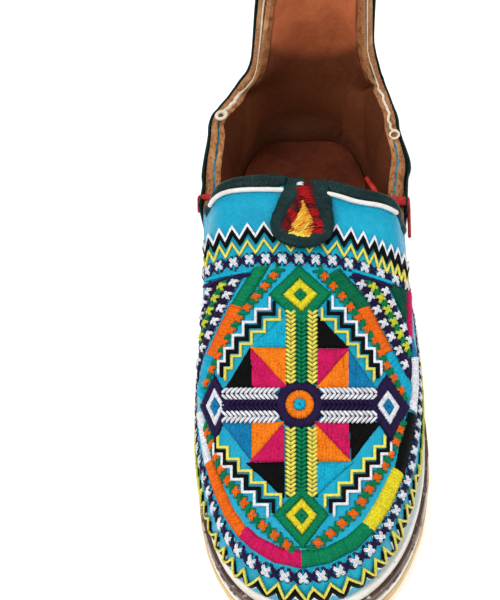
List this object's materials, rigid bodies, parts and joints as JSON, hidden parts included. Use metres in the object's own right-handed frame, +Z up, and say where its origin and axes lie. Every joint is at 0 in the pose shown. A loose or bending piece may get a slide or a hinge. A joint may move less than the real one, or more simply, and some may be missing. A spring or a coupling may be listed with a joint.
{
  "type": "slip-on shoe",
  "caption": "Low embroidered leather slip-on shoe with a tall heel tab, a folded flap at the throat and a stacked crepe sole.",
  "frame": {"origin": "on the floor under the middle of the sole", "axes": "+Z up, +Y from the toe to the heel, +X towards the outer side of this left shoe"},
  "size_m": [0.095, 0.255, 0.1422],
  "materials": {
    "crepe_outsole": "matte natural crepe",
    "cream_layer": "matte foam rubber",
    "brown_layer": "matte foam rubber",
    "insole_leather": "waxed brown leather",
    "blue_leather": "fine-grained leather, embroidered over most of it",
    "teal_leather": "soft leather",
    "white_piping": "smooth coated leather",
    "embroidered_patch": "satin stitch",
    "red_thong": "round leather thong"
  },
  "bodies": {
    "root": {"outsole": "crepe_outsole", "heel_lift_lower": "cream_layer", "heel_lift_upper": "brown_layer", "midsole_lower": "cream_layer", "midsole_middle": "brown_layer", "midsole_upper": "cream_layer", "insole": "insole_leather", "upper": "blue_leather", "collar_band": "teal_leather", "throat_binding": "teal_leather", "throat_piping_left": "white_piping", "throat_piping_right": "white_piping", "flap_rim": "teal_leather", "flap_patch": "embroidered_patch", "thong_left": "red_thong", "thong_right": "red_thong"}
  },
  "joints": []
}
